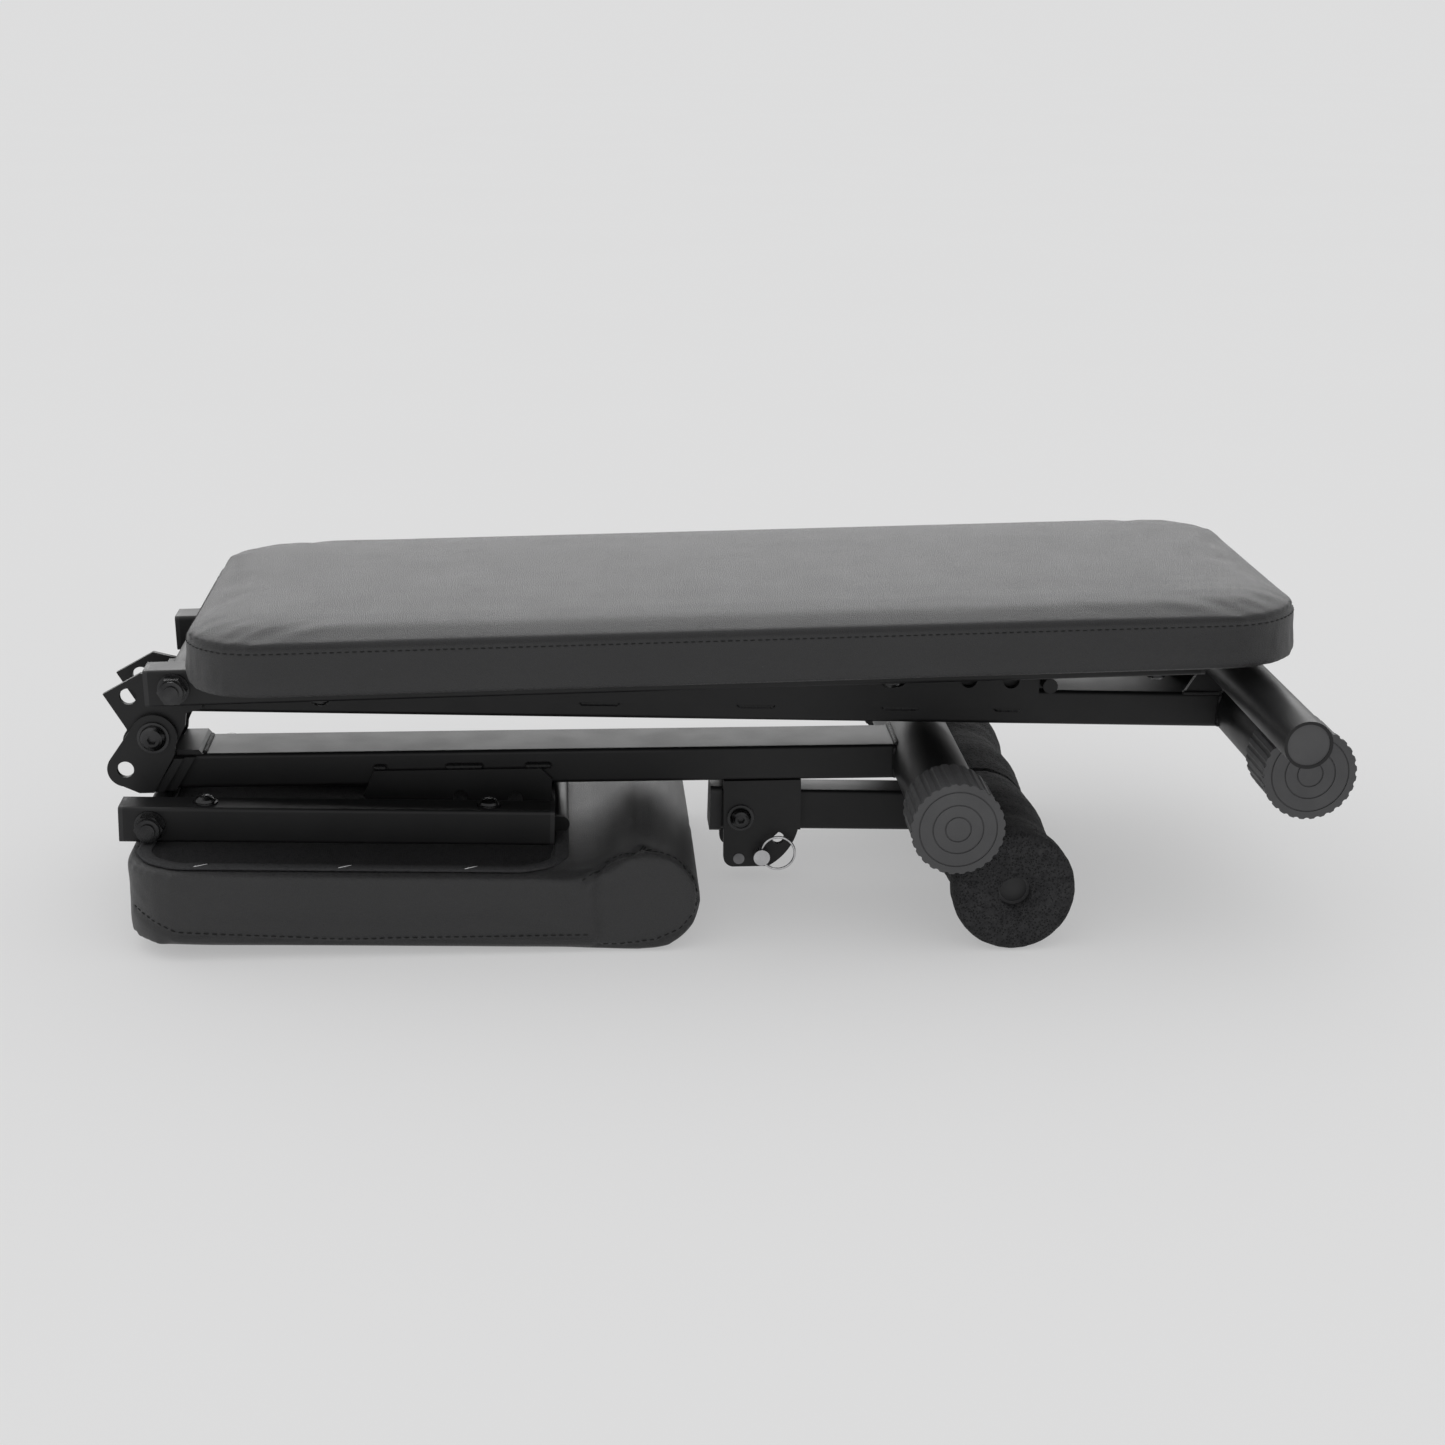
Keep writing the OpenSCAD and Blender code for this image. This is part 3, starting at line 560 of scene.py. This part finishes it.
# the cover is turned in over the board's edge, so the middle lies a little deeper
for v in me.vertices:
    if v.co.z < RH + 0.0012:
        inside = abs(v.co.y) < bw - 0.022 and bx0 + 0.022 < v.co.x < bx1 - 0.022
        v.co.z += 0.0012 if inside else 0.0
for v in me.vertices:
    k = min(max((abs(v.co.y) - 0.090) / 0.03, 0), 1) * min(max(1 - (v.co.z - RH) / 0.022, 0), 1)
    v.co.z -= 0.0042 * k * k * (3 - 2 * k)
me_w = me.copy()
me_w.transform(BF)
pad = put("backrest_cushion", me_w, M["black_vinyl"], "backrest")
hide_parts("backrest_pad", "backrest_board")
low = [p - Vector((0, 0, 0.0032)) for p in seam]
stitches("backrest_stitches", me, low, thread, "backrest", BF, closed=True)

# seat pad
sx0, sw = 0.0068, 0.142
top = -RH
def seat_start():
    c, R = Vector((0.3550, -0.0298)), 0.0352
    prof = [Vector((sx0 + (c.x - sx0) * i / 30, -0.0652)) for i in range(30)]
    prof += [c + Vector((math.cos(math.radians(a)), math.sin(math.radians(a)))) * R for a in range(-90, 137, 6)]
    prof += [Vector(q) for q in ((0.3235, -0.0088), (0.3170, -0.0108), (0.3100, -0.0120), (0.3000, top))]
    prof += [Vector((0.300 - (0.300 - sx0) * i / 28, top)) for i in range(1, 29)]
    prof += [Vector((sx0, top - 0.0527 * i / 6)) for i in range(1, 6)]
    n = len(prof)
    nrm = []
    for i in range(n):
        t = prof[(i + 1) % n] - prof[i - 1]
        nrm.append(Vector((t.y, -t.x)).normalized())
    rows = [(-sw + 0.0006, 0.0034), (-sw + 0.0016, 0.0016), (-sw + 0.0040, 0.0003)]
    rows += [(-sw + 0.008 + (2 * sw - 0.016) * j / 36, 0) for j in range(37)]
    rows += [(-y, q) for y, q in reversed(rows[:3])]
    bm = bmesh.new()
    loops = []
    for y, inset in rows:
        e = max(abs(y) - (sw - 0.045), 0)
        lim = sx0 + 0.045 - math.sqrt(max(0.045 ** 2 - e * e, 0))
        loop = []
        for q, m in zip(prof, nrm):
            q2 = q - m * inset
            loop.append(bm.verts.new((max(q2.x, lim + inset * 0.5), y, q2.y)))
        loops.append(loop)
    for la, lb in zip(loops, loops[1:]):
        for i in range(n):
            bm.faces.new((la[i], la[(i + 1) % n], lb[(i + 1) % n], lb[i]))
    bm.faces.new(list(reversed(loops[0])))
    bm.faces.new(loops[-1])
    bmesh.ops.triangulate(bm, faces=[f for f in bm.faces if len(f.verts) > 4])
    bmesh.ops.recalc_face_normals(bm, faces=bm.faces[:])
    t = bpy.data.meshes.new("seat_start")
    bm.to_mesh(t)
    bm.free()
    return t


me = cushion("seat_cushion", [], SF, (1, 1, 1), (0, 0, 0), lambda c: c.z > top - 0.010 and c.x < sx0 + 0.285, 0.0010, 0.005, 2.5, seat_start())


def side_line(pts, sgn):
    L = SF.inverted()
    q = [L @ W(x, z, sgn * 180) for x, z in pts]
    return surface(me, dense(q, 0.004), lambda p: Vector((0, -sgn, 0)))


low_line = [(-9.6, 30.6), (20.1, 18.6), (127.1, 11.7), (208.8, 11.1), (293.1, 10.5)]
roll_line = [(288.4, 49.8), (302.4, 59.4), (315.0, 66.2), (327.6, 70.1), (342.8, 69.8), (353.4, 63.9), (362.6, 50.3), (365.3, 38.8),
             (363.9, 27.4), (353.2, 14.0), (335.8, 6.5), (314.4, 4.2), (297.7, 4.6)]
post_line = [(297.7, 53.2), (297.4, 30.0), (297.0, 6.0)]
for i, (tag, pts) in enumerate((("low", low_line), ("roll", roll_line), ("joint", post_line))):
    for sgn, side in ((-1, "right"), (1, "left")):
        ln = side_line(pts, sgn)
        if len(ln) > 2:
            press(me, dense(ln), 0.0019, 0.0018)
            if tag != "joint":
                stitches("seat_stitches_%s_%s" % (tag, side), me, [p + Vector((0, 0, 0.003)) for p in ln], thread, "seat", SF)
L = SF.inverted()
creases(me, [(L @ W(290, 48, -sw * 1000), 0.03), (L @ W(290, 48, sw * 1000), 0.03), (L @ W(0, 40, -sw * 1000), 0.03)], 0.0005)
me_w = me.copy()
me_w.transform(SF)
seatpad = put("seat_cushion", me_w, M["black_vinyl"], "seat")
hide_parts("seat_pad", "seat_board")

# backing cloth stapled over the seat's underside, with a bound edge
bm = bmesh.new()
bx_a, bx_b, bh = sx0 + 0.007, sx0 + 0.295, sw - 0.008
nx, ny = 72, 66
outline_r = 0.038


def in_round(x, y):
    dx = max(bx_a + outline_r - x, x - (bx_b - outline_r), 0)
    dy = max(abs(y) - (bh - outline_r), 0)
    return dx, dy


grid = {}
for i in range(nx + 1):
    for j in range(ny + 1):
        x = bx_a + (bx_b - bx_a) * i / nx
        y = -bh + 2 * bh * j / ny
        dx, dy = in_round(x, y)
        l = math.hypot(dx, dy)
        if l > outline_r:
            k = outline_r / l
            x = x + (dx - dx * k) * (1 if x < (bx_a + bx_b) / 2 else -1)
            y = y - (dy - dy * k) * (1 if y > 0 else -1)
        z = top + 0.0006 + 0.0003 * noise.noise(Vector((x * 45, y * 45, 0)))
        grid[i, j] = bm.verts.new((x, y, z))
for i in range(nx):
    for j in range(ny):
        bm.faces.new((grid[i, j], grid[i + 1, j], grid[i + 1, j + 1], grid[i, j + 1]))
bmesh.ops.solidify(bm, geom=bm.faces[:], thickness=0.0006)
t = bpy.data.meshes.new("seat_backing_cloth")
bm.to_mesh(t)
bm.free()
t.transform(SF)
backing = put("seat_backing_cloth", t, M["backing_cloth"], "seat")
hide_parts("seat_backing")

band = bmesh.new()
outl = rounded(bx_a, bx_b, bh, outline_r, n=10)
prof = ((-0.0095, 0.0010), (-0.0088, 0.0021), (-0.001, 0.0020), (0.0006, 0.0008))
rows = []
for k, (p, d) in enumerate(outl):
    wv = 0.0003 * math.sin(k * 1.7)
    rows.append([band.verts.new((p.x + d.x * (o + wv), p.y + d.y * (o + wv), top + h)) for o, h in prof])
for a, b2 in zip(rows, rows[1:] + rows[:1]):
    for i in range(len(prof)):
        j = (i + 1) % len(prof)
        band.faces.new((a[i], b2[i], b2[j], a[j]))
bmesh.ops.recalc_face_normals(band, faces=band.faces[:])
t = bpy.data.meshes.new("seat_binding")
band.to_mesh(t)
band.free()
t.transform(SF)
put("seat_binding", t, M["backing_cloth"], "seat")

bm = bmesh.new()
for y_s in (-1, 1):
    for x in (0.0600, 0.1542, 0.2373):
        c0 = Vector((x, y_s * (bh - 0.0045), top + 0.0023))
        capsule(bm, c0 - Vector((0.0046, 0.0030, 0)), c0 + Vector((0.0046, 0.0030, 0)), 0.0006)
t = bpy.data.meshes.new("seat_staples")
bm.to_mesh(t)
bm.free()
t.transform(SF)
put("seat_staples", t, M["nickel_steel"], "seat")

# contoured foam rollers
CTRL = [(3.4, 36.0), (20, 37.4), (50, 39.0), (75, 37.6), (95, 36.0), (115, 38.2), (135, 41.0), (146, 41.4), (150.5, 40.4), (153, 37.4)]


def foam_r(y):
    for (y0, r0), (y1, r1) in zip(CTRL, CTRL[1:]):
        if y <= y1:
            t = (y - y0) / (y1 - y0)
            return r0 + (r1 - r0) * (0.5 - 0.5 * math.cos(math.pi * t))
    return CTRL[-1][1]


capx, capz, capr = 533.4, 93.0, 31.9
for sgn, side in ((-1, "right"), (1, "left")):
    bm = bmesh.new()
    seg = 150
    ys = [3.4 + (153 - 3.4) * i / 84 for i in range(85)]
    prof = [(11.0, 3.4)] + [(24.0, 3.4)] + [(foam_r(y), y) for y in ys] + [(34.0, 153.0), (24.0, 152.8), (11.0, 152.6)]
    loops = []
    for r, y in prof:
        lp = []
        for i in range(seg):
            a = 2 * math.pi * i / seg
            rr = r
            if r > 20:
                n = noise.noise(Vector((math.cos(a) * 9, math.sin(a) * 9, y * 0.12 + sgn)))
                rr = r + 0.28 * n
            px, pz = 575.8 + rr * math.cos(a), 41.5 + rr * math.sin(a)
            dx, dz = px - capx, pz - capz
            l = math.hypot(dx, dz)
            if l < capr and y > 120:
                px, pz = capx + dx * capr / l, capz + dz * capr / l
            lp.append(bm.verts.new(W(px, pz, sgn * y)))
        loops.append(lp)
    for la, lb in zip(loops, loops[1:] + loops[:1]):
        for i in range(seg):
            bm.faces.new((la[i], la[(i + 1) % seg], lb[(i + 1) % seg], lb[i]))
    bmesh.ops.recalc_face_normals(bm, faces=bm.faces[:])
    t = bpy.data.meshes.new("foam_sleeve_" + side)
    bm.to_mesh(t)
    bm.free()
    f = put("foam_sleeve_" + side, t, M["black_foam"], "roller_post")
    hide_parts("foam_roller_" + side)


# weld beads: overlapping ripples along a joint
def weld(name, a, b, body, F=None, r=0.0028, mirror=True):
    bm = bmesh.new()
    for sgn in ((1, -1) if mirror else (1,)):
        p, q = Vector((a[0], a[1] * sgn, a[2])), Vector((b[0], b[1] * sgn, b[2]))
        n = max(3, int((q - p).length / 0.0013))
        for i in range(n + 1):
            c = p.lerp(q, i / n)
            k = 1 + 0.16 * noise.noise(c * 900)
            mt = Matrix.Translation(c) @ Matrix.Diagonal((r * 0.9 * k, r * k, r * 0.85 * k, 1))
            bmesh.ops.create_icosphere(bm, subdivisions=2, radius=1.0, matrix=mt)
    t = bpy.data.meshes.new(name)
    bm.to_mesh(t)
    bm.free()
    if F is not None:
        t.transform(F)
    return put(name, t, M["black_frame"], body)


WELD_REAR = ((103, 114), (291, 314), (401, 423), (503, 524), (583, 597))
WELD_FRONT = ((146, 151), (196, 218), (252, 266))
for i, (x0, x1) in enumerate(WELD_REAR):
    weld("weld_rear_rack_%d" % i, (x0 / 1000, -0.0258, -0.0010), (x1 / 1000, -0.0258, -0.0010), "rear_leg", RF)
for i, (x0, x1) in enumerate(WELD_FRONT):
    weld("weld_front_rack_%d" % i, (x0 / 1000, -0.0262, 0.0014), (x1 / 1000, -0.0262, 0.0014), "front_leg", FF)
for tag, F, body, x in (("rear", RF, "rear_leg", 0.7392), ("front", FF, "front_leg", 0.5078)):
    weld("weld_foot_top_" + tag, (x + 0.0045, -0.022, 0.0125), (x + 0.0045, 0.022, 0.0125), body, F, 0.0024, False)
    weld("weld_foot_side_" + tag, (x + 0.003, -0.0252, -0.010), (x + 0.003, -0.0252, 0.010), body, F, 0.0024)
weld("weld_bar_bracket", (0.716, -0.0252, 0.0128), (0.742, -0.0252, 0.0128), "rear_leg", RF, 0.0018)
weld("weld_saddle", (0.0275, -0.020, 0.0128), (0.0275, 0.020, 0.0128), "front_leg", FF, 0.0017, False)
